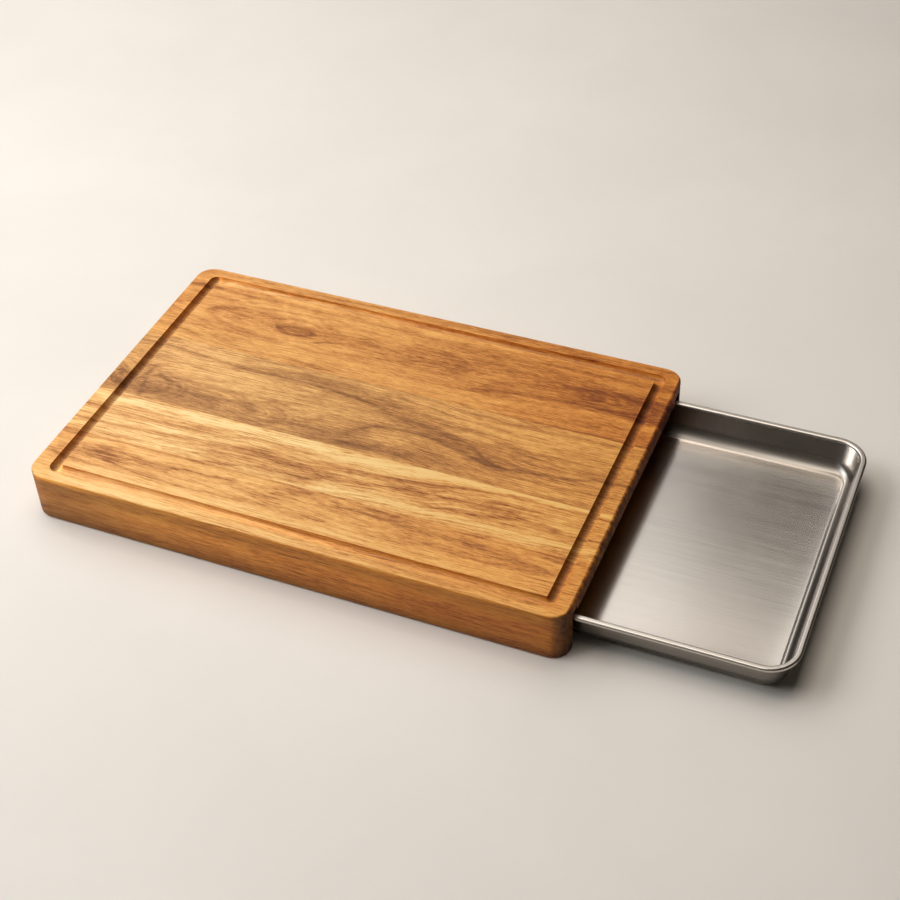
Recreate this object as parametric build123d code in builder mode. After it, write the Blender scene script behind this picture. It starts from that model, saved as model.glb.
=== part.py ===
import math
import os

from build123d import *

# Wooden chopping board, edge-glued from four planks and hollowed from below,
# with one pressed metal tray that slides out of its right-hand end.
# Millimetres, +Z up. The board's long side and the tray's travel run along X.
# The origin is under the middle of board and tray together, at the height of
# the surface that both stand on.

# ---- board ----
board_length = 380.0
board_width = 250.0
board_thickness = 37.0
corner_radius = 13.0
top_edge_radius = 1.6
bottom_edge_radius = 1.8

# ---- glue lines between the planks ----
glue_line_1_y = -73.8
glue_line_2_y = -29.5
glue_line_3_y = 38.5

# ---- juice groove ----
groove_outer_left = 177.5      # from the board's centre to the groove's outer wall
groove_outer_right = 180.3
groove_outer_near = 116.8
groove_outer_far = 115.8
groove_width = 7.4
groove_depth = 4.0
groove_outer_corner = 6.0
groove_island_corner = 0.8
groove_bottom_radius = 3.0

# ---- pocket for the tray, open below and at the right-hand end ----
side_wall = 13.5
ceiling_height = 25.4
end_wall = 40.0
pocket_corner_radius = 15.0
relief_inner_y = 102.5         # relief groove in the ceiling beside each side wall
relief_height = 29.5

# ---- tray ----
tray_length = 345.0
tray_width = 218.0
tray_height = 24.4
tray_sheet = 1.0
tray_corner_radius = 21.0
wall_draft = 9.0               # degrees off vertical
floor_fillet = 8.0             # inside radius between floor and wall
rim_outer_roll = 1.3
rim_inner_roll = 1.6
rim_crest_start = 1.3          # from the rim's outer edge
rim_crest_end = 2.7
rim_skirt = 2.2                # how far the turned-down edge hangs below the crest
tray_out = 135.0               # how far the tray stands out of the board

# ---- where the board stands in the frame ----
board_cx = -tray_out / 2
board_right = board_cx + board_length / 2
board_left = board_cx - board_length / 2
tray_right = board_right + tray_out
tray_left = tray_right - tray_length
tray_cx = (tray_left + tray_right) / 2

os.makedirs("parts", exist_ok=True)

# ---- the groove's volume, a ring with a rounded bottom ----
groove_cx = board_cx + (groove_outer_right - groove_outer_left) / 2
groove_len = groove_outer_right + groove_outer_left
groove_cy = (groove_outer_far - groove_outer_near) / 2
groove_wid = groove_outer_far + groove_outer_near

with BuildPart() as groove_volume:
    with BuildSketch(Plane.XY.offset(board_thickness - groove_depth)):
        with Locations((groove_cx, groove_cy)):
            RectangleRounded(groove_len, groove_wid, groove_outer_corner)
            RectangleRounded(
                groove_len - 2 * groove_width,
                groove_wid - 2 * groove_width,
                groove_island_corner,
                mode=Mode.SUBTRACT,
            )
    extrude(amount=groove_depth + 4)
    fillet(
        groove_volume.edges().group_by(Axis.Z)[0],
        radius=groove_bottom_radius,
    )

# ---- the pocket's volume ----
pocket_left = board_left + end_wall
pocket_right = board_right + 10
pocket_half = board_width / 2 - side_wall
pocket_cx = (pocket_left + pocket_right) / 2
pocket_len = pocket_right - pocket_left

with BuildPart() as pocket_volume:
    with BuildSketch(Plane.XY.offset(-5)):
        with Locations((pocket_cx, 0)):
            Rectangle(pocket_len, 2 * pocket_half)
    extrude(amount=ceiling_height + 5)
    with BuildSketch(Plane.XY.offset(ceiling_height - 1)):
        for side in (-1, 1):
            with Locations((pocket_cx, side * (relief_inner_y + pocket_half) / 2)):
                Rectangle(pocket_len, pocket_half - relief_inner_y)
    extrude(amount=relief_height - ceiling_height + 1)
    fillet(
        pocket_volume.edges().filter_by(Axis.Z).group_by(Axis.X)[0].filter_by(
            lambda e: abs(abs(e.center().Y) - pocket_half) < 0.01
        ),
        radius=pocket_corner_radius,
    )

# ---- the whole milled board, before it is parted at the glue lines ----
with BuildPart() as milled_board:
    with BuildSketch(Plane.XY) as board_outline:
        with Locations((board_cx, 0)):
            Rectangle(board_length, board_width)
        fillet(board_outline.vertices(), radius=corner_radius)
    extrude(amount=board_thickness)
    fillet(milled_board.edges().group_by(Axis.Z)[-1], radius=top_edge_radius)
    fillet(milled_board.edges().group_by(Axis.Z)[0], radius=bottom_edge_radius)
    add(pocket_volume.part, mode=Mode.SUBTRACT)
    add(groove_volume.part, mode=Mode.SUBTRACT)

# ---- front plank ----
front_y = (-board_width / 2 - 5, glue_line_1_y)

with BuildPart() as front_plank:
    add(milled_board.part)
    with Locations((board_cx, sum(front_y) / 2, board_thickness / 2)):
        Box(board_length + 10, front_y[1] - front_y[0], board_thickness + 10, mode=Mode.INTERSECT)
front_plank.part.label = "front_plank"

# ---- second plank ----
second_y = (glue_line_1_y, glue_line_2_y)

with BuildPart() as second_plank:
    add(milled_board.part)
    with Locations((board_cx, sum(second_y) / 2, board_thickness / 2)):
        Box(board_length + 10, second_y[1] - second_y[0], board_thickness + 10, mode=Mode.INTERSECT)
second_plank.part.label = "second_plank"

# ---- third plank ----
third_y = (glue_line_2_y, glue_line_3_y)

with BuildPart() as third_plank:
    add(milled_board.part)
    with Locations((board_cx, sum(third_y) / 2, board_thickness / 2)):
        Box(board_length + 10, third_y[1] - third_y[0], board_thickness + 10, mode=Mode.INTERSECT)
third_plank.part.label = "third_plank"

# ---- rear plank ----
rear_y = (glue_line_3_y, board_width / 2 + 5)

with BuildPart() as rear_plank:
    add(milled_board.part)
    with Locations((board_cx, sum(rear_y) / 2, board_thickness / 2)):
        Box(board_length + 10, rear_y[1] - rear_y[0], board_thickness + 10, mode=Mode.INTERSECT)
rear_plank.part.label = "rear_plank"

# ---- tray ----
# Section of wall and rim, drawn as (inset from the rim's outer edge, height).
# It runs round the tray's outline; the floor is a plate inside it.
a = math.radians(wall_draft)
ca, sa = math.cos(a), math.sin(a)
roll_z = tray_height - rim_inner_roll
outer_z = tray_height - rim_outer_roll
skirt_z = tray_height - rim_skirt
s = tray_sheet

# inner roll, tangent to the drafted wall
wall_top_in = (rim_crest_end + rim_inner_roll * ca, roll_z + rim_inner_roll * sa)
wall_top_out = (rim_crest_end + (rim_inner_roll - s) * ca, roll_z + (rim_inner_roll - s) * sa)
roll_mid = math.radians((90 + wall_draft) / 2)
inner_roll_mid_in = (
    rim_crest_end + rim_inner_roll * math.cos(roll_mid),
    roll_z + rim_inner_roll * math.sin(roll_mid),
)
inner_roll_mid_out = (
    rim_crest_end + (rim_inner_roll - s) * math.cos(roll_mid),
    roll_z + (rim_inner_roll - s) * math.sin(roll_mid),
)

# floor fillet, tangent to wall and floor
fillet_cz = s + floor_fillet
fillet_cx = wall_top_in[0] + (wall_top_in[1] - fillet_cz) * math.tan(a) + floor_fillet / ca
wall_foot_in = (fillet_cx - floor_fillet * ca, fillet_cz - floor_fillet * sa)
wall_foot_out = (fillet_cx - (floor_fillet + s) * ca, fillet_cz - (floor_fillet + s) * sa)
foot_mid = math.radians((90 + wall_draft) / 2)
fillet_mid_in = (
    fillet_cx - floor_fillet * math.cos(foot_mid),
    fillet_cz - floor_fillet * math.sin(foot_mid),
)
fillet_mid_out = (
    fillet_cx - (floor_fillet + s) * math.cos(foot_mid),
    fillet_cz - (floor_fillet + s) * math.sin(foot_mid),
)
floor_edge = fillet_cx + 1.5

outer_roll_mid = (
    rim_crest_start - rim_outer_roll * math.cos(math.pi / 4),
    outer_z + rim_outer_roll * math.sin(math.pi / 4),
)
outer_roll_mid_under = (
    rim_crest_start - (rim_outer_roll - s) * math.cos(math.pi / 4),
    outer_z + (rim_outer_roll - s) * math.sin(math.pi / 4),
)

# The section stands in the plane through the middle of the tray's right side.
section_plane = Plane(origin=(tray_right, 0, 0), x_dir=(-1, 0, 0), z_dir=(0, 1, 0))
half_wid = tray_width / 2

with BuildPart() as tray:
    with BuildLine() as rim_path:
        Polyline(
            (tray_right, 0), (tray_right, half_wid), (tray_left, half_wid),
            (tray_left, -half_wid), (tray_right, -half_wid), (tray_right, 0),
        )
        fillet(
            rim_path.vertices().filter_by(lambda v: abs(v.Y) > 1),
            radius=tray_corner_radius,
        )
    with BuildSketch(section_plane):
        with BuildLine():
            Line((0, skirt_z), (0, outer_z))
            ThreePointArc((0, outer_z), outer_roll_mid, (rim_crest_start, tray_height))
            Line((rim_crest_start, tray_height), (rim_crest_end, tray_height))
            ThreePointArc((rim_crest_end, tray_height), inner_roll_mid_in, wall_top_in)
            Line(wall_top_in, wall_foot_in)
            ThreePointArc(wall_foot_in, fillet_mid_in, (fillet_cx, s))
            Line((fillet_cx, s), (floor_edge, s))
            Line((floor_edge, s), (floor_edge, 0))
            Line((floor_edge, 0), (fillet_cx, 0))
            ThreePointArc((fillet_cx, 0), fillet_mid_out, wall_foot_out)
            Line(wall_foot_out, wall_top_out)
            ThreePointArc(wall_top_out, inner_roll_mid_out, (rim_crest_end, tray_height - s))
            Line((rim_crest_end, tray_height - s), (rim_crest_start, tray_height - s))
            ThreePointArc((rim_crest_start, tray_height - s), outer_roll_mid_under, (s, outer_z))
            Line((s, outer_z), (s, skirt_z))
            Line((s, skirt_z), (0, skirt_z))
        make_face()
    sweep(path=rim_path.wires()[0])
    with BuildSketch(Plane.XY):
        with Locations((tray_cx, 0)):
            RectangleRounded(
                tray_length - 2 * floor_edge,
                tray_width - 2 * floor_edge,
                tray_corner_radius - floor_edge,
            )
    extrude(amount=s)
tray.part.label = "tray"

for node in (front_plank, second_plank, third_plank, rear_plank, tray):
    export_step(node.part, "parts/" + node.part.label + ".step")
    box = node.part.bounding_box()
    print(node.part.label, len(node.part.solids()), round(node.part.volume), box.min, box.max)
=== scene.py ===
import math

import bpy
from mathutils import Matrix, Vector

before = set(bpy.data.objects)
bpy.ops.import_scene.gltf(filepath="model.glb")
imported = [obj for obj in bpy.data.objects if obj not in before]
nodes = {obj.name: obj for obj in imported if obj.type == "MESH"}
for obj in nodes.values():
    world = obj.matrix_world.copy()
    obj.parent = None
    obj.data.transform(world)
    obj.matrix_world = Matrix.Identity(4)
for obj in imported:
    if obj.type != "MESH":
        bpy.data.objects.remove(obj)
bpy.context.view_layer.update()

scene = bpy.context.scene
BOARD_X = -0.0675  # the board's middle in the frame, metres


# ------------------------------------------------------------------ node graphs
class Sock:
    """An output socket that can be used in arithmetic."""

    def __init__(self, g, out):
        self.g, self.out = g, out

    def __add__(self, o):
        return self.g.math("ADD", self, o)

    __radd__ = __add__

    def __sub__(self, o):
        return self.g.math("SUBTRACT", self, o)

    def __rsub__(self, o):
        return self.g.math("SUBTRACT", o, self)

    def __mul__(self, o):
        return self.g.math("MULTIPLY", self, o)

    __rmul__ = __mul__

    def __truediv__(self, o):
        return self.g.math("DIVIDE", self, o)

    def __neg__(self):
        return self.g.math("MULTIPLY", self, -1.0)


class Graph:
    def __init__(self, name):
        self.mat = bpy.data.materials.new(name)
        self.mat.use_nodes = True
        self.nt = self.mat.node_tree
        self.nt.nodes.clear()
        self.out = self.nt.nodes.new("ShaderNodeOutputMaterial")
        self.bsdf = self.nt.nodes.new("ShaderNodeBsdfPrincipled")
        self.nt.links.new(self.bsdf.outputs[0], self.out.inputs["Surface"])

    def put(self, value, sock):
        if isinstance(value, Sock):
            self.nt.links.new(value.out, sock)
        else:
            sock.default_value = value

    def math(self, op, a, b=None, c=None, clamp=False):
        n = self.nt.nodes.new("ShaderNodeMath")
        n.operation = op
        n.use_clamp = clamp
        self.put(a, n.inputs[0])
        if b is not None:
            self.put(b, n.inputs[1])
        if c is not None:
            self.put(c, n.inputs[2])
        return Sock(self, n.outputs[0])

    def exp(self, a):
        return self.math("EXPONENT", a)

    def absv(self, a):
        return self.math("ABSOLUTE", a)

    def mx(self, a, b):
        return self.math("MAXIMUM", a, b)

    def mn(self, a, b):
        return self.math("MINIMUM", a, b)

    def clamp(self, a):
        return self.math("ADD", a, 0.0, clamp=True)

    def coords(self):
        n = self.nt.nodes.new("ShaderNodeTexCoord")
        s = self.nt.nodes.new("ShaderNodeSeparateXYZ")
        self.nt.links.new(n.outputs["Object"], s.inputs[0])
        x, y, z = (Sock(self, s.outputs[i]) for i in range(3))
        return (x - BOARD_X) * 1000.0, y * 1000.0, z * 1000.0

    def vec(self, x, y, z):
        n = self.nt.nodes.new("ShaderNodeCombineXYZ")
        for i, v in enumerate((x, y, z)):
            self.put(v, n.inputs[i])
        return Sock(self, n.outputs[0])

    def noise(self, v, scale=1.0, detail=2.0, rough=0.5, distortion=0.0):
        """Fractal noise, about 0.5 in the mean."""
        n = self.nt.nodes.new("ShaderNodeTexNoise")
        n.noise_dimensions = "3D"
        self.put(v, n.inputs["Vector"])
        n.inputs["Scale"].default_value = scale
        n.inputs["Detail"].default_value = detail
        n.inputs["Roughness"].default_value = rough
        n.inputs["Distortion"].default_value = distortion
        return Sock(self, n.outputs[0])

    def step(self, v, lo, hi, a=0.0, b=1.0, kind="SMOOTHSTEP"):
        n = self.nt.nodes.new("ShaderNodeMapRange")
        n.interpolation_type = kind
        n.clamp = True
        self.put(v, n.inputs["Value"])
        for k, w in (("From Min", lo), ("From Max", hi), ("To Min", a), ("To Max", b)):
            self.put(w, n.inputs[k])
        return Sock(self, n.outputs[0])

    def curve(self, v, points, x0, x1, y0, y1):
        """A curve through given points: points are (x, y) in the caller's units."""
        t = self.step(v, x0, x1, kind="LINEAR")
        n = self.nt.nodes.new("ShaderNodeFloatCurve")
        n.inputs["Factor"].default_value = 1.0
        c = n.mapping.curves[0]
        pts = [((x - x0) / (x1 - x0), (y - y0) / (y1 - y0)) for x, y in points]
        while len(c.points) < len(pts):
            c.points.new(0.5, 0.5)
        for p, (a, b) in zip(c.points, pts):
            p.location = (a, b)
            p.handle_type = "AUTO_CLAMPED"
        n.mapping.update()
        self.put(t, n.inputs["Value"])
        return Sock(self, n.outputs[0]) * (y1 - y0) + y0

    def mix(self, f, a, b, blend="MIX"):
        n = self.nt.nodes.new("ShaderNodeMix")
        n.data_type = "RGBA"
        n.blend_type = blend
        self.put(f, n.inputs[0])
        for v, i in ((a, 6), (b, 7)):
            self.put(v if isinstance(v, Sock) else (*v, 1.0), n.inputs[i])
        return Sock(self, n.outputs[2])

    def ramp(self, f, stops, interp="LINEAR"):
        n = self.nt.nodes.new("ShaderNodeValToRGB")
        n.color_ramp.interpolation = interp
        e = n.color_ramp.elements
        while len(e) < len(stops):
            e.new(0.5)
        for el, (pos, col) in zip(e, stops):
            el.position = pos
            el.color = (*col, 1.0)
        self.put(f, n.inputs[0])
        return Sock(self, n.outputs[0])

    def bump(self, height, distance, strength=1.0, normal=None):
        n = self.nt.nodes.new("ShaderNodeBump")
        n.inputs["Strength"].default_value = strength
        n.inputs["Distance"].default_value = distance
        self.put(height, n.inputs["Height"])
        if normal is not None:
            self.put(normal, n.inputs["Normal"])
        return Sock(self, n.outputs[0])


def srgb(r, g, b):
    """0-255 display values to linear."""

    def f(c):
        c /= 255.0
        return c / 12.92 if c <= 0.04045 else ((c + 0.055) / 1.055) ** 2.4

    return f(r), f(g), f(b)


# ------------------------------------------------------------------ wood
# The figure of each plank is drawn on a sheet laid over the cutting
# face: u runs along the board and v across it, both in quarter millimetres
# from the far left corner. Below the cutting face the sheet is carried down
# the sides, so that streaks run on over the edges.
def stroke(g, u, v, pts, width, dark, fade=45.0, soft=None):
    """A streak along the grain: a given path with soft ends."""
    us, vs = [p[0] for p in pts], [p[1] for p in pts]
    lo, hi = min(vs) - 10.0, max(vs) + 10.0
    path = g.curve(u, sorted(pts), us[0], us[-1], lo, hi)
    d = (v - path) / (width * 1.05)
    d = d * d
    m = g.exp(d * -1.0) * 0.68 + g.exp(d * -0.14) * 0.24
    if us[0] > 5:
        m = m * g.step(u, us[0] - fade * 0.3, us[0] + fade)
    if us[-1] < 1515:
        m = m * g.step(u, us[-1] + fade * 0.3, us[-1] - fade)
    return m * dark


def patch(g, u, v, cu, cv, a, b, dark, turn=0.0):
    """A soft oval patch."""
    du, dv = u - cu, v - cv
    if turn:
        c, s = math.cos(math.radians(turn)), math.sin(math.radians(turn))
        du, dv = du * c + dv * s, dv * c - du * s
    du, dv = du / a, dv / b
    return g.exp((du * du + dv * dv) * -1.0) * dark


def wood(name, seed, field, marks, tones, bands, curl=(), mean=0.5, grey=0.0, swirls=(), yellow=()):
    g = Graph(name)
    X, Y, Z = g.coords()
    u = (X + 190.0) * 4.0
    v0 = (125.0 - Y) * 4.0 + (37.0 - Z) * 3.0
    zz = Z * 0.02 + seed * 3.7

    def layer(fu, w, fv, off, detail=2.0, rough=0.55, z=0.0):
        z = zz * 0.3 + off if z == 0.0 else Z * z + off
        return g.noise(g.vec(u * fu + seed, w * fv, z), 1.0, detail, rough) - 0.5

    wide = layer(0.0024, v0, 0.006, 1.0)
    small = layer(0.010, v0, 0.035, 4.0, 2.0)
    fine = layer(0.05, v0, 0.14, 8.0, 1.0)
    F = field(g, u, v0 + wide * 46.0 + small * 10.0 + fine * 2.0)
    vs = v0 + small * 10.0 + fine * 3.0

    b1 = layer(0.0014, F, 0.016, 0.0, 1.0)
    b2 = layer(0.0050, F, 0.055, 2.0)
    b3 = layer(0.0070, F, 0.152, 4.0, 2.0, 0.6)
    b4 = layer(0.0102, (F + v0), 0.145, 6.0, 3.0, 0.65, z=0.35)
    cloud = layer(0.012, v0, 0.020, 12.0, 3.0, 0.6)
    blot = layer(0.034, v0, 0.075, 15.0, 2.0, 0.6)
    a1, a2, a3, a4, ac, ab = bands
    thin = g.step(layer(0.0040, F, 0.21, 31.0, 2.0, 0.5), 0.06, 0.20)
    tone = b1 * a1 + b2 * a2 + b3 * a3 + b4 * a4 + cloud * ac + blot * ab - thin * 0.16 + (mean + 0.02)

    dark = None
    for m in marks:
        if m[0] == "s":
            k = stroke(g, u, vs, *m[1:])
        else:
            k = patch(g, u, vs, *m[1:])
        dark = k if dark is None else dark + k
    # the marks are bundles of the same lines as the rest, and break up
    broken = layer(0.0066, v0, 0.125, 21.0, 2.0, 0.6)
    dark = dark * (broken * 2.2 + b3 * 1.8 + b4 * 2.2 + 1.0)
    # where marks pile up they still let the lines through
    dark = dark * 1.15 / (g.mx(dark, 0.0) * 0.80 + 1.0)
    tone = tone - dark
    for cu, cv, a, b, amp in curl:
        ripple = g.noise(g.vec(u * 0.085, v0 * 0.009, seed + 20.0), 1.0, 2.0, 0.6) - 0.5
        tone = tone + ripple * patch(g, u, v0, cu, cv, a, b, amp)

    # fine lines that run round the knots
    for cu, cv, a, b, amp in swirls:
        du, dv = (u + wide * 60.0 - cu) / a, (vs - cv) / b
        rad = g.math("SQRT", du * du + dv * dv + 0.02)
        turn = g.noise(g.vec(rad * 7.0, u * 0.010, seed + cu), 1.0, 3.0, 0.65) - 0.5
        tone = tone + turn * g.exp(rad * rad * -0.9) * amp

    # fibres and pores, coarser towards the right
    fib = g.noise(g.vec(X * 0.13, v0 * 0.285, Z * 1.3), 1.0, 3.0, 0.75)
    pore = g.step(g.noise(g.vec(X * 0.42 + seed, v0 * 0.55, Z * 2.4 + seed), 1.0, 2.0, 0.5), 0.60, 0.72)
    tone = tone + (fib - 0.5) * g.step(u, 200.0, 1000.0, 0.94, 1.38) - pore * 0.16
    tone = g.clamp(tone)
    col = g.ramp(tone, tones)
    if grey:
        gm = g.clamp(dark * grey)
        col = g.mix(gm, col, srgb(146, 104, 62))
    for cu, cv, a, b in yellow:
        col = g.mix(patch(g, u, v0, cu, cv, a, b, 1.0), col, g.mix(1.0, col, (1.02, 1.10, 1.10), "MULTIPLY"))
    # the left of the board is paler, the right of it redder and deeper: partly the wood's own colour, partly painted
    # shade that deepens towards the right
    kr, kg, kb = (g.curve(u, pts, 0, 1520, 0.3, 1.2) for pts in TINT_AND_SHADE)
    col = g.mix(1.0, col, g.vec(kr, kg, kb), "MULTIPLY")
    # the sawn sides are darker than the face, with painted shade towards the bottom and the ends of the board; end
    # grain, which drinks more oil, is darker still, on the ends and in the cross grooves, deepened with painted
    # shade on the right end
    n = g.nt.nodes.new("ShaderNodeNewGeometry")
    s = g.nt.nodes.new("ShaderNodeSeparateXYZ")
    g.nt.links.new(n.outputs["Normal"], s.inputs[0])
    nx, ny = Sock(g, s.outputs[0]), Sock(g, s.outputs[1])
    side = g.step(g.absv(ny), 0.35, 0.95) * g.step(g.absv(Y), 121.0, 124.0)
    # painted shade: the sides darken towards the bottom
    side_painted_light = g.curve(Z, [(0, 0.44), (3, 0.54), (9, 0.81), (15, 0.90), (21, 1.02), (28, 0.89), (33, 0.82), (37, 0.86)], 0, 37, 0.3, 1.3)
    blue = g.curve(Z, [(0, 0.20), (3, 0.24), (9, 0.44), (15, 0.42), (21, 0.41), (28, 0.35), (33, 0.32), (37, 0.32)], 0, 37, 0.0, 0.6)
    # painted shade along the sides, darker towards both ends of the board
    side_painted_light = side_painted_light * g.curve(u, [(0, 0.74), (150, 0.80), (350, 1.08), (700, 1.20), (1000, 1.18), (1300, 1.02), (1520, 0.94)], 0, 1520, 0.5, 1.5)
    # painted highlight along the top edge of the sides at the left end
    lip = g.step(Z, 31.0, 36.0) * g.step(u, 330.0, 60.0)
    side_painted_light = side_painted_light * (lip * 1.0 + 1.0)
    col = g.mix(side, col, g.mix(1.0, col, g.vec(side_painted_light * 0.90, side_painted_light * 0.69, side_painted_light * blue * 0.88), "MULTIPLY"))
    # end grain darker on the end faces and the cross grooves' end walls, partly painted shade: deepest on the right
    # end, with a painted shadow strip along its top edge
    end = g.step(g.absv(nx), 0.12, 0.80) * g.step(g.absv(X), 177.0, 183.0) * g.step(Z, 36.98, 36.2)
    end = g.mx(end, g.step(X, 187.5, 188.8))
    rings = g.noise(g.vec(Y * 0.30, Z * 0.10, seed), 1.0, 4.0, 0.65)
    endk = g.step(rings, 0.38, 0.64, 0.22, 0.80, "LINEAR") * g.step(g.absv(Y), 105.0, 115.0, 1.0, 0.42)
    arcs = g.noise(g.vec(Y * 0.10 + Z * 0.05, Z * 0.55 + Y * Y * 0.0011, seed), 1.0, 4.0, 0.6)
    endk = g.mn(endk + g.step(X, -181.0, -185.0), g.step(arcs, 0.30, 0.70, 0.42, 0.76, "LINEAR") + g.step(X, -185.0, -181.0))
    col = g.mix(end, col, g.mix(1.0, col, g.vec(endk, endk * 0.74, endk * 0.34), "MULTIPLY"))
    # painted light and shade across the far groove: lighter at the island's edge and up its outer wall, darker at
    # its bottom
    far = g.curve(Y, [(104, 1.0), (106.5, 1.07), (108.2, 1.05), (109.5, 1.0), (112.8, 0.93), (113.5, 0.90), (114.2, 0.95), (114.8, 1.05), (115.3, 1.12), (115.8, 1.28), (116.1, 1.15), (116.8, 1.0)], 104, 116.8, 0.5, 1.7)
    far = g.mix(g.step(g.absv(X), 176.0, 172.0), (1.0, 1.0, 1.0), g.vec(far, far * 1.04, far * 1.16))
    col = g.mix(1.0, col, far, "MULTIPLY")
    # painted light and shade along the far groove: lighter and bluer at the left, darker towards the right
    dg = g.step(Y, 110.8, 111.8) * g.step(Y, 116.2, 115.4) * g.step(g.absv(X), 178.0, 172.0)
    k = g.curve(u, [(0, 1.02), (550, 1.10), (780, 0.97), (950, 0.91), (1120, 0.84), (1520, 0.84)], 0, 1520, 0.5, 1.5)
    col = g.mix(dg, col, g.mix(1.0, col, g.vec(k, k * g.step(u, 720.0, 480.0, 1.0, 1.15), k * g.step(u, 720.0, 480.0, 1.0, 1.36)), "MULTIPLY"))
    # painted light along the near groove's bottom, strongest in the middle of the board
    dg = g.step(Y, -109.8, -110.6) * g.step(Y, -114.0, -113.0) * g.step(g.absv(X), 178.0, 172.0)
    k = g.curve(u, [(0, 1.06), (400, 1.02), (600, 1.20), (850, 1.24), (1080, 1.02), (1520, 1.0)], 0, 1520, 0.5, 1.5)
    col = g.mix(dg, col, g.mix(1.0, col, g.vec(k, k, k), "MULTIPLY"))
    # painted shade along the near groove's outer side, deepest at the left
    dg = g.step(Y, -113.2, -114.2) * g.step(Y, -117.0, -116.3) * g.step(g.absv(X), 178.0, 172.0)
    k = g.curve(u, [(0, 0.68), (250, 0.70), (450, 0.83), (700, 0.93), (1100, 0.90), (1520, 0.90)], 0, 1520, 0.5, 1.5)
    col = g.mix(dg, col, g.mix(1.0, col, g.vec(k, k, k), "MULTIPLY"))
    # painted shade inside the pocket under the board
    pocket_painted_shade = g.step(Z, 30.0, 29.4) * g.step(g.absv(Y), 112.2, 111.6) * g.step(X, 189.7, 189.2)
    col = g.mix(pocket_painted_shade, col, g.mix(1.0, col, (0.55, 0.53, 0.51), "MULTIPLY"))
    # painted shade on the groove walls that face right (the left groove's outer wall, the right groove's island
    # side), and painted light on the left groove's island side and along the right groove's outer lip
    cut = g.step(Z, 36.97, 36.6) * g.step(g.absv(X), 182.0, 180.6) * g.step(g.absv(Y), 118.0, 116.4)
    left = g.curve(X, [(-179, 0.42), (-177, 0.42), (-175.6, 0.46), (-174.6, 0.54), (-173.6, 0.76), (-172.7, 1.08), (-171.7, 1.55), (-170.7, 1.42), (-169.6, 1.12), (-168.6, 1.0)], -179, -168.6, 0.0, 1.8)
    right = g.curve(X, [(172, 0.36), (174, 0.38), (175, 0.43), (176, 0.52), (177, 0.68), (178, 0.88), (179, 1.02), (180, 1.12), (181, 1.04)], 172, 181, 0.0, 1.4)
    k = g.mix(cut * g.step(X, -160.0, -165.0), (1.0, 1.0, 1.0), g.vec(left, left * 0.93, left * 0.82))
    col = g.mix(1.0, col, k, "MULTIPLY")
    k = g.mix(cut * g.step(X, 160.0, 165.0) * g.step(g.absv(Y), 110.5, 108.0), (1.0, 1.0, 1.0), g.vec(right, right * 0.95, right * 0.85))
    col = g.mix(1.0, col, k, "MULTIPLY")
    g.put(col, g.bsdf.inputs["Base Color"])
    rough = g.step(fib, 0.3, 0.7, 0.52, 0.42, "LINEAR") + pore * 0.12
    g.put(rough + end * 0.18, g.bsdf.inputs["Roughness"])
    g.bsdf.inputs["Specular IOR Level"].default_value = 0.35
    h = (fib - 0.5) * 0.5 + b4 * 0.25 - pore * 0.6
    g.put(g.bump(h, 0.00009, 0.6), g.bsdf.inputs["Normal"])
    return g.mat


# gains on red, green and blue along the board: the wood's colour change and painted shade towards the right
TINT_AND_SHADE = (
    [(0, 1.02), (150, 1.04), (400, 1.00), (760, 0.94), (1200, 0.89), (1520, 0.89)],
    [(0, 1.00), (150, 1.02), (400, 0.98), (760, 0.88), (1200, 0.745), (1520, 0.72)],
    [(0, 0.92), (150, 0.94), (400, 0.86), (760, 0.70), (1200, 0.47), (1520, 0.40)],
)


def tones(*cols):
    """Tone stops, darkest first, as display colours seen on the finished
    board; the sheen of the oil is taken off again."""
    at = (0.04, 0.27, 0.5, 0.73, 0.96)
    return [(p, tuple(max(c - 0.028, 0.004) for c in srgb(*col))) for p, col in zip(at, cols)]


def oval_field(cu, cv, a, b, k):
    """Growth rings cut near the pith: long nested ovals."""

    def f(g, u, v):
        du, dv = (u - cu) / a, (v - cv) / b
        return g.math("SQRT", du * du + dv * dv + 0.05) * k

    return f


def field_rear(g, u, v):
    base = oval_field(540.0, 196.0, 430.0, 38.0, 34.0)(g, u, v)
    return base + patch(g, u, v, 398.0, 198.0, 70.0, 24.0, -30.0)


def field_front(g, u, v):
    return oval_field(780.0, 858.0, 640.0, 34.0, 34.0)(g, u, v)


def field_second(g, u, v):
    rise = g.curve(u, [(0, 0), (250, 8), (450, 22), (750, 35), (850, 48), (1040, 72), (1110, 90), (1310, 103), (1520, 110)], 0, 1520, -10, 120)
    return v + rise


def field_third(g, u, v):
    f = v + patch(g, u, v, 480.0, 565.0, 120.0, 45.0, -46.0)
    f = f + patch(g, u, v, 900.0, 560.0, 190.0, 55.0, 48.0)
    f = f + patch(g, u, v, 80.0, 540.0, 60.0, 60.0, -50.0)
    return f + patch(g, u, v, 640.0, 380.0, 260.0, 50.0, 30.0)


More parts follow.
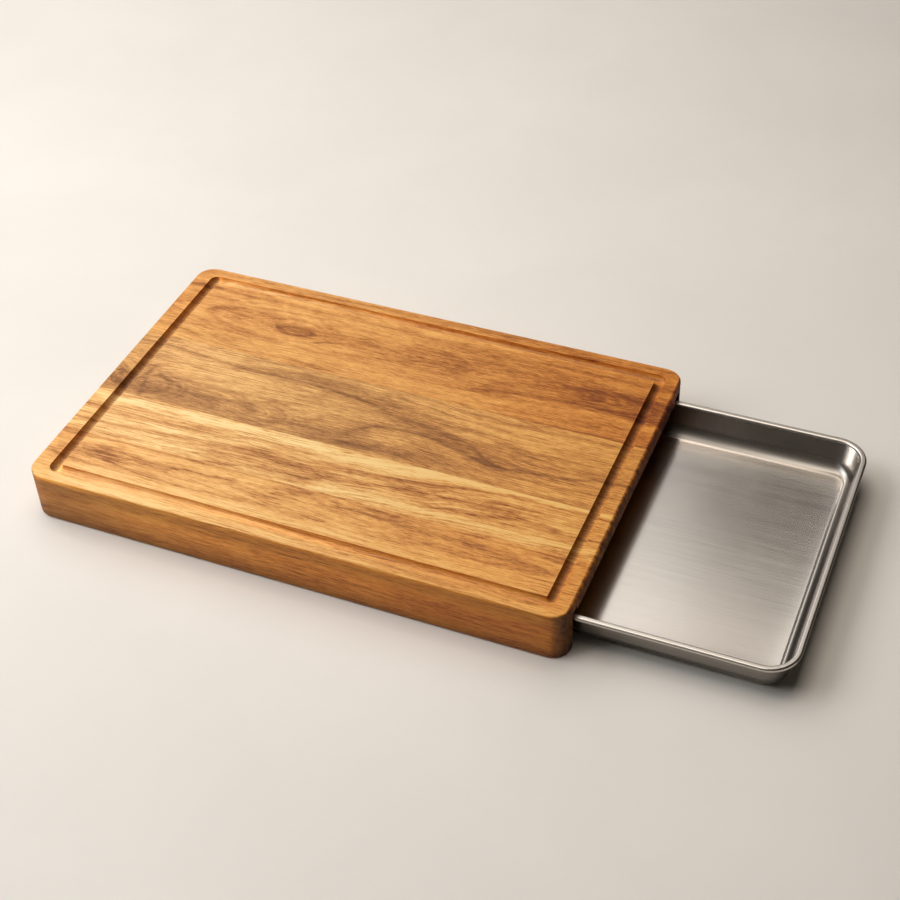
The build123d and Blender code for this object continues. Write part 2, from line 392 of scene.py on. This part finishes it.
MARKS_REAR = [
    ("s", [(0, 91), (160, 93), (520, 96), (1000, 99), (1520, 94)], 5, 0.24),
    ("s", [(112, 190), (140, 175), (165, 165), (225, 157), (290, 161), (360, 166)], 8, 0.30, 30),
    ("s", [(112, 197), (145, 215), (200, 238), (300, 258), (420, 262)], 7, 0.18, 30),
    ("p", 230, 182, 112, 27, 0.22),
    ("p", 135, 194, 22, 14, 0.22),
    ("s", [(338, 191), (370, 187), (400, 186), (430, 188), (470, 194)], 3.5, 0.20, 22),
    ("s", [(338, 192), (370, 208), (400, 218), (430, 212), (470, 196)], 5, 0.34, 22),
    ("p", 398, 200, 60, 16, 0.22),
    ("p", 398, 198, 10, 3, 0.22),
    ("s", [(310, 172), (360, 158), (420, 152), (470, 166), (515, 190)], 4.5, 0.16, 40),
    ("s", [(455, 196), (520, 199), (600, 189), (690, 190)], 7, 0.18),
    ("s", [(470, 236), (550, 212), (592, 203), (640, 211), (720, 214)], 3, 0.34, 30),
    ("s", [(640, 240), (760, 236), (860, 240), (925, 216), (965, 195)], 7, 0.22),
    ("s", [(740, 152), (860, 154), (930, 174), (965, 193)], 8, 0.22),
    ("p", 870, 190, 110, 36, 0.24),
    ("p", 700, 185, 130, 30, 0.14),
    ("s", [(1020, 228), (1140, 200), (1210, 185), (1310, 170), (1520, 160)], 6, 0.22),
    ("s", [(990, 268), (1110, 250), (1185, 244), (1310, 234), (1520, 240)], 7, 0.32),
    ("s", [(1230, 203), (1330, 201), (1420, 214)], 4, 0.22),
    ("s", [(1010, 162), (1120, 156), (1240, 168), (1330, 166)], 6, 0.16),
    ("p", 1300, 190, 260, 55, 0.17),
    ("s", [(1040, 347), (1200, 344), (1330, 341), (1520, 344)], 3.2, 0.42),
    ("s", [(1120, 318), (1300, 312), (1520, 322)], 9, 0.16),
    ("p", 150, 250, 80, 22, 0.16),
    ("p", 250, 298, 95, 14, 0.10),
    ("p", 270, 262, 95, 20, 0.10),
    ("p", 1280, 84, 190, 34, 0.13),
    ("p", 1182, 150, 80, 30, 0.08),
    ("p", 1370, 306, 95, 30, 0.17),
    ("p", 1010, 300, 90, 28, -0.11),
    ("p", 500, 306, 130, 24, -0.07),
    ("p", 640, 268, 150, 14, 0.12),
    ("s", [(1050, 262), (1300, 254), (1520, 258)], 5, -0.16),
    ("s", [(0, 60), (400, 62), (800, 66), (1520, 62)], 10, -0.10),
    ("s", [(0, 20), (400, 22), (1000, 18), (1520, 20)], 14, 0.16),
    ("s", [(180, 45), (500, 40), (900, 44), (1300, 40)], 3, 0.22),
    ("p", 1500, 150, 90, 110, 0.10),
]
MARKS_THIRD = [
    ("s", [(0, 388), (90, 386), (190, 392), (290, 402), (400, 408), (520, 404), (620, 408), (700, 416), (760, 430), (850, 452), (950, 462), (1060, 488), (1130, 530), (1180, 552)], 4.2, 0.34),
    ("p", 560, 384, 170, 26, 0.22),
    ("p", 690, 425, 110, 18, 0.10),
    ("p", 210, 388, 190, 30, -0.14),
    ("p", 36, 356, 40, 60, -0.10),
    ("p", 640, 482, 260, 34, 0.09),
    ("p", 1182, 480, 90, 34, 0.07),
    ("p", 500, 580, 80, 34, 0.12),
    ("p", 1010, 578, 90, 34, 0.13),
    ("s", [(980, 366), (1130, 373), (1280, 368), (1520, 362)], 3, 0.18),
    ("s", [(760, 402), (900, 418), (1000, 430), (1120, 436)], 5, 0.16),
    ("s", [(760, 448), (860, 452), (970, 474), (1060, 498), (1120, 526), (1180, 550)], 6, 0.14),
    ("p", 920, 470, 130, 22, 0.22, 8),
    ("p", 1085, 515, 80, 18, 0.12, 22),
    ("s", [(740, 552), (790, 516), (830, 503), (900, 498), (960, 500), (1010, 512), (1080, 530), (1130, 543), (1180, 549), (1240, 540), (1330, 534), (1400, 518), (1440, 506), (1520, 504)], 5, 0.38),
    ("p", 1150, 549, 66, 8, 0.30, 3),
    ("s", [(1100, 448), (1180, 462), (1220, 476), (1290, 488)], 5, 0.18),
    ("s", [(118, 496), (150, 518), (200, 535), (240, 552), (300, 558), (380, 546), (460, 534)], 6, 0.30, 25),
    ("s", [(140, 508), (240, 513), (340, 512), (440, 508), (580, 522)], 4, 0.22),
    ("s", [(430, 524), (500, 528), (540, 542), (562, 561)], 5, 0.22, 26),
    ("s", [(430, 604), (500, 598), (535, 585), (562, 563)], 5, 0.22, 26),
    ("s", [(400, 552), (440, 552), (470, 566)], 4, 0.18, 20),
    ("s", [(380, 590), (440, 584), (470, 570)], 4, 0.18, 20),
    ("p", 104, 492, 8, 18, 0.34, 12),
    ("p", 112, 560, 7, 36, 0.34, -14),
    ("p", 128, 592, 8, 22, 0.26, 18),
    ("p", 96, 528, 6, 22, 0.24, 20),
    ("p", 26, 536, 9, 24, 0.30, -25),
    ("p", 40, 575, 9, 24, 0.26, 24),
    ("p", 130, 555, 90, 50, 0.17),
    ("p", 30, 560, 60, 50, 0.20),
    ("p", 280, 575, 170, 34, 0.21),
    ("p", 640, 580, 160, 34, 0.24),
    ("p", 468, 562, 30, 15, -0.12),
    ("p", 800, 592, 110, 20, 0.24),
    ("p", 760, 540, 50, 20, 0.20, -30),
    ("s", [(640, 606), (800, 598), (960, 588)], 6, 0.16),
    ("p", 240, 452, 210, 24, -0.20),
    ("p", 1300, 420, 240, 46, -0.10),
    ("p", 1360, 592, 170, 16, -0.14),
    ("p", 1380, 560, 110, 30, -0.10),
    ("s", [(1000, 585), (1200, 572), (1400, 566)], 5, 0.12),
]
MARKS_SECOND = [
    ("s", [(0, 640), (300, 640), (700, 641), (950, 630), (1200, 625), (1520, 624)], 13, -0.40),
    ("s", [(0, 623), (80, 624), (200, 625), (330, 621)], 2.5, 0.26),
    ("s", [(0, 691), (160, 690), (260, 692), (380, 690), (480, 676), (560, 663), (680, 668)], 4, 0.26),
    ("s", [(560, 676), (680, 684), (760, 688), (900, 690)], 6, 0.24),
    ("s", [(0, 746), (80, 747), (160, 745), (250, 736), (400, 730), (480, 716), (560, 712), (680, 712), (800, 702)], 4.5, 0.26),
    ("s", [(780, 706), (850, 697), (940, 682), (1040, 672), (1110, 655), (1185, 646), (1310, 641), (1520, 638)], 4.5, 0.50),
    ("p", 960, 681, 70, 7, 0.26, -9),
    ("p", 640, 728, 140, 20, 0.22),
    ("s", [(430, 792), (500, 784), (540, 772), (625, 765), (700, 762), (760, 752)], 5, 0.36),
    ("s", [(720, 742), (860, 728), (960, 711), (1040, 704), (1140, 702), (1300, 692)], 4.5, 0.40),
    ("s", [(740, 726), (860, 720), (960, 722), (1080, 720)], 6, 0.20),
    ("s", [(1030, 752), (1110, 742), (1185, 733), (1250, 721), (1310, 713), (1440, 716)], 6, 0.34),
    ("p", 1240, 722, 60, 7, 0.24, -12),
    ("s", [(1100, 682), (1300, 674), (1520, 668)], 3, 0.20),
    ("s", [(1150, 694), (1330, 688), (1520, 700)], 3, 0.16),
    ("s", [(1240, 655), (1380, 652), (1520, 656)], 3, 0.18),
    ("s", [(1200, 738), (1350, 742), (1520, 736)], 3, 0.14),
    ("s", [(730, 782), (900, 766), (1100, 768), (1300, 770), (1520, 756)], 10, -0.34),
    ("s", [(1370, 795), (1450, 781), (1520, 768)], 4, 0.34),
    ("s", [(0, 712), (300, 712), (520, 696)], 8, -0.14),
    ("s", [(0, 775), (250, 772), (430, 765)], 9, -0.14),
    ("p", 1280, 680, 180, 22, 0.10),
    ("p", 494, 728, 95, 40, 0.10),
    ("p", 838, 707, 80, 22, -0.10),
    ("p", 230, 707, 170, 22, 0.06),
    ("p", 1380, 712, 90, 20, -0.07),
]
MARKS_FRONT = [
    ("s", [(0, 802), (300, 804), (430, 801), (700, 803), (770, 802), (850, 799), (930, 808), (1040, 813), (1110, 813), (1185, 807), (1310, 807), (1520, 812)], 4, 0.34),
    ("p", 25, 812, 40, 10, 0.30),
    ("s", [(116, 850), (150, 843), (190, 840), (250, 845), (310, 850), (400, 846), (560, 836)], 5.5, 0.34, 25),
    ("s", [(116, 860), (160, 872), (200, 884), (230, 890), (290, 897), (350, 899), (430, 902), (500, 897), (620, 893), (850, 890)], 5, 0.36, 25),
    ("p", 165, 855, 45, 14, 0.34, 6),
    ("p", 140, 866, 90, 20, 0.30),
    ("p", 150, 906, 100, 18, 0.24),
    ("p", 600, 862, 160, 18, -0.11),
    ("p", 900, 906, 150, 18, -0.11),
    ("p", 740, 822, 130, 16, 0.07),
    ("p", 1190, 820, 90, 16, 0.10),
    ("s", [(0, 984), (500, 986), (1000, 988), (1520, 990)], 11, -0.26),
    ("p", 260, 864, 130, 20, 0.16),
    ("s", [(840, 804), (930, 815), (1040, 828), (1130, 832), (1240, 838), (1330, 846), (1400, 853), (1440, 863)], 5.5, 0.28),
    ("s", [(1150, 880), (1240, 882), (1330, 879), (1440, 864)], 5, 0.24),
    ("p", 1370, 864, 70, 12, 0.20),
    ("s", [(860, 824), (1040, 838), (1100, 846), (1150, 856)], 5, 0.18),
    ("s", [(900, 886), (1010, 893), (1080, 882), (1150, 857)], 6, 0.20),
    ("p", 1050, 862, 130, 26, 0.18),
    ("s", [(580, 830), (660, 823), (720, 813), (790, 803)], 6, 0.24),
    ("p", 700, 850, 200, 18, 0.10),
    ("s", [(200, 955), (330, 952), (420, 958), (640, 955)], 4, 0.20),
    ("s", [(640, 950), (900, 952), (1100, 953), (1300, 956), (1520, 962)], 4, 0.20),
    ("s", [(60, 925), (500, 925), (900, 925), (1450, 928)], 14, -0.16),
    ("p", 28, 896, 26, 7, 0.36, 10),
    ("p", 34, 872, 14, 12, 0.20),
    ("s", [(800, 985), (1000, 980), (1250, 988)], 4, 0.16),
    ("s", [(0, 1075), (250, 1085), (500, 1092), (700, 1085), (900, 1080)], 12, 0.18),
    ("s", [(650, 1040), (800, 1048), (950, 1044)], 7, 0.20),
    ("s", [(900, 1062), (1100, 1056), (1400, 1060)], 5, 0.18),
    ("s", [(0, 1110), (500, 1106), (1520, 1112)], 10, 0.16),
    ("s", [(0, 1012), (400, 1014), (900, 1010)], 6, 0.10),
    ("p", 130, 980, 120, 13, 0.13),
    ("p", 1230, 980, 260, 14, 0.14),
]


def wood_materials():
    return {
        "front_plank": wood(
            "wood_golden", 3.1, field_front, MARKS_FRONT,
            tones((150, 92, 52), (203, 140, 80), (231, 168, 100), (246, 190, 120), (252, 206, 138)),
            (0.45, 0.52, 0.75, 0.95, 0.35, 0.20), mean=0.545,
            swirls=[(180, 858, 130, 22, 0.7), (1050, 862, 150, 26, 0.5)],
        ),
        "second_plank": wood(
            "wood_pale", 7.7, field_second, MARKS_SECOND,
            tones((146, 88, 50), (194, 134, 78), (226, 166, 102), (244, 194, 126), (253, 216, 154)),
            (0.35, 0.60, 0.95, 1.15, 0.28, 0.20), curl=[(1275, 715, 60, 60, 0.35)], mean=0.56,
            swirls=[(900, 720, 200, 30, 0.5)],
        ),
        "third_plank": wood(
            "wood_figured", 12.9, field_third, MARKS_THIRD,
            tones((130, 84, 50), (172, 118, 72), (205, 148, 90), (232, 176, 110), (248, 198, 132)),
            (0.42, 0.50, 0.65, 0.95, 0.35, 0.20), mean=0.56, grey=0.35,
            swirls=[(120, 555, 120, 60, 0.9), (470, 563, 110, 42, 0.9), (1150, 549, 120, 26, 0.7), (28, 556, 40, 60, 0.7)],
        ),
        "rear_plank": wood(
            "wood_red", 18.3, field_rear, MARKS_REAR,
            tones((140, 84, 44), (178, 114, 62), (212, 145, 82), (232, 168, 98), (246, 186, 114)),
            (0.42, 0.50, 0.62, 0.85, 0.35, 0.20), curl=[(1250, 310, 60, 40, 0.35)], mean=0.60,
            yellow=[(200, 310, 330, 50)], swirls=[(398, 199, 110, 30, 0.9), (200, 195, 130, 50, 0.6), (870, 192, 150, 50, 0.6), (1300, 195, 170, 60, 0.4)],
        ),
    }


# ------------------------------------------------------------------ metal
def steel():
    g = Graph("tray_steel")
    X, Y, Z = g.coords()
    # brushed lines along X: fine scratches, and broader bands of them
    line = g.noise(g.vec(X * 0.012, Y * 0.9, Z * 0.9), 1.0, 3.0, 0.7)
    band = g.noise(g.vec(X * 0.006, Y * 0.12, Z * 0.12 + 5.0), 1.0, 2.0, 0.5)
    stain = g.noise(g.vec(X * 0.02, Y * 0.02, Z * 0.02 + 9.0), 1.0, 3.0, 0.6)
    n = g.nt.nodes.new("ShaderNodeNewGeometry")
    s = g.nt.nodes.new("ShaderNodeSeparateXYZ")
    g.nt.links.new(n.outputs["Normal"], s.inputs[0])
    nx, ny, nz = (Sock(g, s.outputs[i]) for i in range(3))
    flat = g.step(g.absv(nz), 0.3, 0.85)
    crest = g.step(Z, 22.2, 23.2)
    col = g.mix(g.step(line, 0.3, 0.7), (0.690, 0.642, 0.592), (0.735, 0.688, 0.636))
    col = g.mix(g.step(stain, 0.42, 0.70, 0.0, 0.12), col, (0.660, 0.600, 0.530))
    # the walls are darker than the floor, most the outer walls, which face a little downwards: painted shade; the
    # far wall beside the board gets painted light, and the far-right corner a painted highlight
    wall_painted_light = g.step(nz, -0.08, 0.08, 0.46, 0.80) * (g.step(Y, 60.0, 80.0) * g.step(X, 262.0, 205.0) * g.step(nz, 0.0, 0.08) * 0.5 + 1.0)
    corner_painted_highlight = g.step(nx, -0.2, -0.5) * g.step(ny, -0.2, -0.5) * g.step(Y, 60.0, 80.0)
    wall_painted_light = g.mx(wall_painted_light, corner_painted_highlight * 1.1)
    col = g.mix(g.clamp(flat + crest), g.mix(1.0, col, g.vec(wall_painted_light, wall_painted_light * 0.975, wall_painted_light * 0.95), "MULTIPLY"), col)
    # painted shade: the bend at the foot of the right wall is darker too
    bend_painted_shade = g.step(nx, -0.30, -0.50) * g.step(Z, 9.5, 7.5) * g.step(g.absv(Y), 100.0, 90.0)
    col = g.mix(bend_painted_shade, col, g.mix(1.0, col, (0.20, 0.185, 0.17), "MULTIPLY"))
    # painted shade on the far wall's foot, toning down its highlight, most at the left
    heel_painted_shade = g.step(ny, -0.10, -0.35) * g.step(Z, 10.0, 7.5) * g.step(Z, 0.9, 1.02)
    hk = g.step(X, 215.0, 290.0, 0.38, 0.62, "LINEAR")
    col = g.mix(heel_painted_shade, col, g.mix(1.0, col, g.vec(hk, hk * 0.98, hk * 0.96), "MULTIPLY"))
    # the rim's top is a little darker: painted shade toning down its highlight
    col = g.mix(crest, col, g.mix(1.0, col, (0.86, 0.85, 0.84), "MULTIPLY"))
    # painted shade on the rim's outer roll, on the far and right sides
    lip = g.mx(g.step(ny, 0.15, 0.55) * g.step(Y, 106.8, 107.6), g.step(nx, 0.15, 0.55) * g.step(X, 322.8, 323.6))
    lip = lip * g.step(Z, 22.0, 22.6)
    col = g.mix(lip, col, g.mix(1.0, col, (0.34, 0.32, 0.30), "MULTIPLY"))
    g.put(col, g.bsdf.inputs["Base Color"])
    g.bsdf.inputs["Metallic"].default_value = 1.0
    rough = g.step(line, 0.25, 0.75, 0.18, 0.22, "LINEAR") + g.step(stain, 0.4, 0.7, 0.0, 0.02) + crest * 0.12
    rough = rough + g.step(nz, 0.998, 0.96) * g.step(Z, 9.5, 7.5) * 0.17
    g.put(rough, g.bsdf.inputs["Roughness"])
    g.bsdf.inputs["Anisotropic"].default_value = 0.80
    # the grain's direction: highlights are drawn out across the lines
    tv = g.nt.nodes.new("ShaderNodeVectorTransform")
    tv.vector_type = "VECTOR"
    tv.convert_from, tv.convert_to = "OBJECT", "WORLD"
    tv.inputs[0].default_value = (0.0, 1.0, 0.0)
    g.nt.links.new(tv.outputs[0], g.bsdf.inputs["Tangent"])
    # the pressing leaves the floor very slightly dished towards its edges
    right = g.exp((X - 313.0) * 0.10)
    left = g.exp((X + 8.0) * -0.14)
    near = g.exp((Y + 97.0) * -0.14)
    far = g.exp((Y - 97.0) * 0.14)
    dish = (right * 2.0 + left + near + far * 0.2) * g.step(Z, 1.0, 1.6, 1.0, 0.0)
    h = dish * 0.55 + (line - 0.5) * 0.0022 + (band - 0.5) * 0.010
    g.put(g.bump(h, 0.001, 1.0), g.bsdf.inputs["Normal"])
    return g.mat


mats = wood_materials()
mats["tray"] = steel()
for name, mat in mats.items():
    o = nodes[name]
    o.data.materials.clear()
    o.data.materials.append(mat)

# ------------------------------------------------------------------ floor
def make_floor():
    me = bpy.data.meshes.new("floor")
    s = 6.0
    me.from_pydata([(-s, -s, -0.0002), (s, -s, -0.0002), (s, s, -0.0002), (-s, s, -0.0002)], [], [(0, 1, 2, 3)])
    o = bpy.data.objects.new("floor", me)
    scene.collection.objects.link(o)
    g = Graph("floor")
    X, Y, Z = g.coords()
    soft = g.noise(g.vec(X * 0.0065, Y * 0.0065, 3.0), 1.0, 4.0, 0.55, 0.4)
    grain = g.noise(g.vec(X * 0.25, Y * 0.25, 1.0), 1.0, 3.0, 0.6)
    k = g.step(soft, 0.3, 0.7, 0.972, 1.022, "LINEAR") + (grain - 0.5) * 0.02
    col = g.mix(1.0, srgb(232, 224, 214), g.vec(k, k, k), "MULTIPLY")
    g.put(col, g.bsdf.inputs["Base Color"])
    g.bsdf.inputs["Roughness"].default_value = 0.7
    g.put(g.bump(grain, 0.0002, 0.3), g.bsdf.inputs["Normal"])
    me.materials.append(g.mat)
    return o


make_floor()

# ------------------------------------------------------------------ camera
AZ, EL, ROLL = math.radians(24.2039), math.radians(41.6104), math.radians(-2.6950)
back = Vector((math.sin(AZ) * math.cos(EL), -math.cos(AZ) * math.cos(EL), math.sin(EL)))
right = Vector((math.cos(AZ), math.sin(AZ), 0))
up = right.cross(-back)
r2 = right * math.cos(ROLL) + up * math.sin(ROLL)
u2 = -right * math.sin(ROLL) + up * math.cos(ROLL)
cam = bpy.data.objects.new("camera", bpy.data.cameras.new("camera"))
scene.collection.objects.link(cam)
m = Matrix((
    (r2.x, u2.x, back.x, 0.40572 + BOARD_X),
    (r2.y, u2.y, back.y, -0.75987),
    (r2.z, u2.z, back.z, 0.77030),
    (0, 0, 0, 1),
))
cam.matrix_world = m
cam.data.sensor_width = 36.0
cam.data.lens = 66.5508
cam.data.clip_start = 0.05
cam.data.clip_end = 50.0
scene.camera = cam

# ------------------------------------------------------------------ light
world = bpy.data.worlds.new("world")
world.use_nodes = True
scene.world = world
bg = world.node_tree.nodes["Background"]
bg.inputs[0].default_value = (1.0, 0.98, 0.95, 1)
bg.inputs[1].default_value = 0.02


def area(name, loc, target, size, power, color=(1, 1, 1)):
    d = bpy.data.lights.new(name, "AREA")
    d.shape = "RECTANGLE"
    d.size, d.size_y = size
    d.energy = power
    d.color = color
    o = bpy.data.objects.new(name, d)
    scene.collection.objects.link(o)
    o.location = loc
    o.rotation_mode = "QUATERNION"
    o.rotation_quaternion = (Vector(target) - Vector(loc)).to_track_quat("-Z", "Y")
    return o


# soft panels round the left of the table, turned to the board: direction
# (degrees from +X, height), watts, width and colour
WARM, PLAIN, COOL = (1.0, 0.93, 0.84), (1.0, 1.0, 1.0), (0.98, 1.02, 1.06)
PANELS = (
    (113, 54, 1.24, 0.85, PLAIN), (118, 32, 0.78, 0.7, PLAIN), (145, 45, 4.9, 0.9, PLAIN), (180, 45, 6.9, 0.9, COOL),
    (180, 89, 7.7, 0.9, WARM), (210, 25, 0.6, 0.9, COOL), (210, 45, 9.6, 0.9, COOL),
    (225, 65, 1.6, 0.9, COOL), (90, 65, 2.5, 0.9, WARM),
)
for n, (az, el, watts, wide, colour) in enumerate(PANELS):
    a, e = math.radians(az), math.radians(el)
    loc = (BOARD_X + 1.6 * math.cos(a) * math.cos(e), 1.6 * math.sin(a) * math.cos(e), 1.6 * math.sin(e))
    area("panel_%d" % n, loc, (BOARD_X, 0, 0), (wide, wide), watts, colour)

scene.view_settings.view_transform = "Standard"
scene.view_settings.look = "None"
